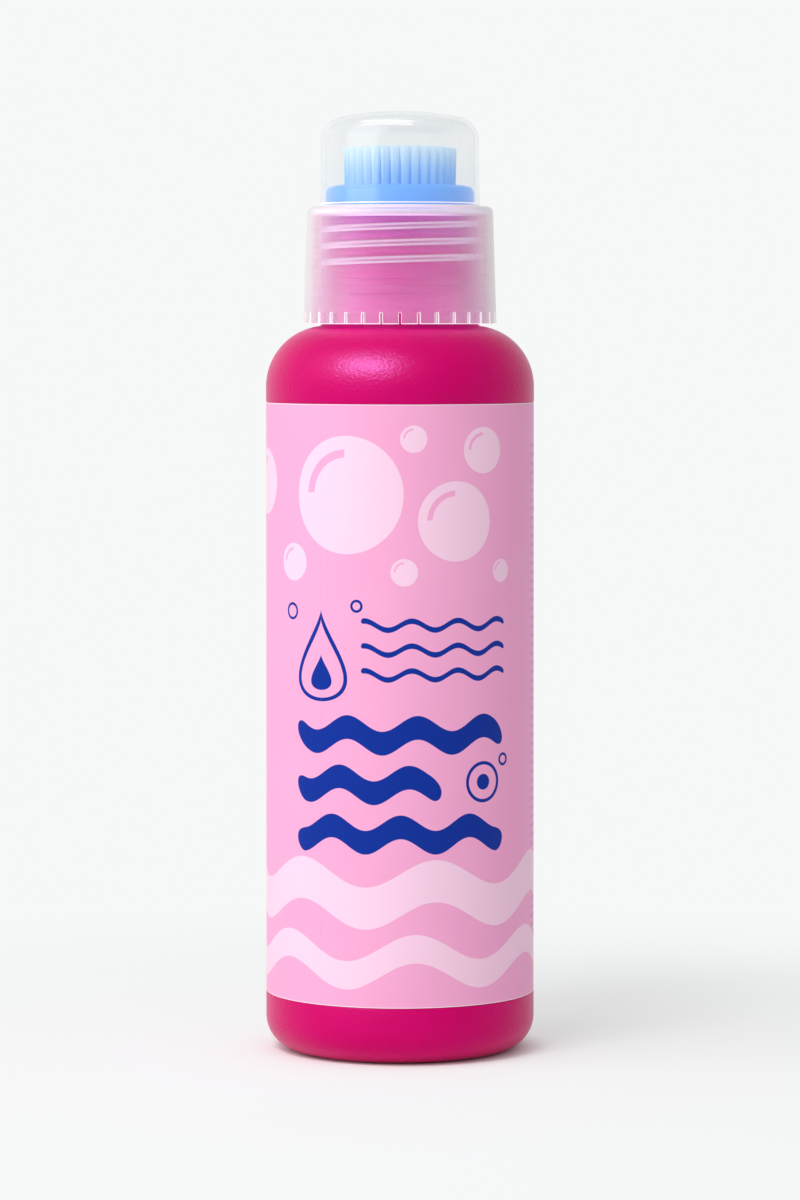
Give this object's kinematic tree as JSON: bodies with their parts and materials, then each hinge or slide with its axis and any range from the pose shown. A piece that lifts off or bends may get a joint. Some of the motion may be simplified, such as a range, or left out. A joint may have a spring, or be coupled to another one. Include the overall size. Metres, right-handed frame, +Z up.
{
  "type": "stain remover bottle",
  "caption": "Round squeeze bottle of laundry stain remover with a wrap label, a brush head with a slit valve, and a screwed translucent overcap.",
  "frame": {"origin": "middle of the base, at the level of the ring that the bottle stands on", "axes": "+Z up along the bottle's axis, towards the overcap; the label's front faces -Y; +X is to the right seen from the front"},
  "size_m": [0.052, 0.052, 0.1818],
  "materials": {
    "bottle_plastic": "satin magenta blow-moulded polyethylene",
    "label_film": "satin pink printed film",
    "brush_plastic": "satin light-blue moulded polypropylene",
    "bristle_nylon": "light-blue nylon filament",
    "valve_silicone": "soft milky silicone",
    "retainer_plastic": "natural polypropylene",
    "liner_foam": "white foamed polyethylene",
    "cap_plastic": "frosted translucent polypropylene"
  },
  "bodies": {
    "bottle": {"bottle": "bottle_plastic", "label": "label_film", "brush_head": "brush_plastic", "bristles": "bristle_nylon", "slit_valve": "valve_silicone", "valve_retainer": "retainer_plastic"},
    "cap_liner": {"cap_liner": "liner_foam"},
    "overcap": {"overcap": "cap_plastic"}
  },
  "joints": [
    {"name": "overcap_rise", "type": "slide", "parent": "bottle", "child": "cap_liner", "axis": [0, 0, 1], "range_m": [0, 0.03573]},
    {"name": "overcap_turn", "type": "hinge", "parent": "cap_liner", "child": "overcap", "pos_m": [0, 0, 0.1612], "axis": [0, 0, 1], "range_deg": [0, 4050]}
  ],
  "couplings": [
    {"joint": "overcap_rise", "follows": "overcap_turn", "m_per_rad": 0.00050532}
  ]
}
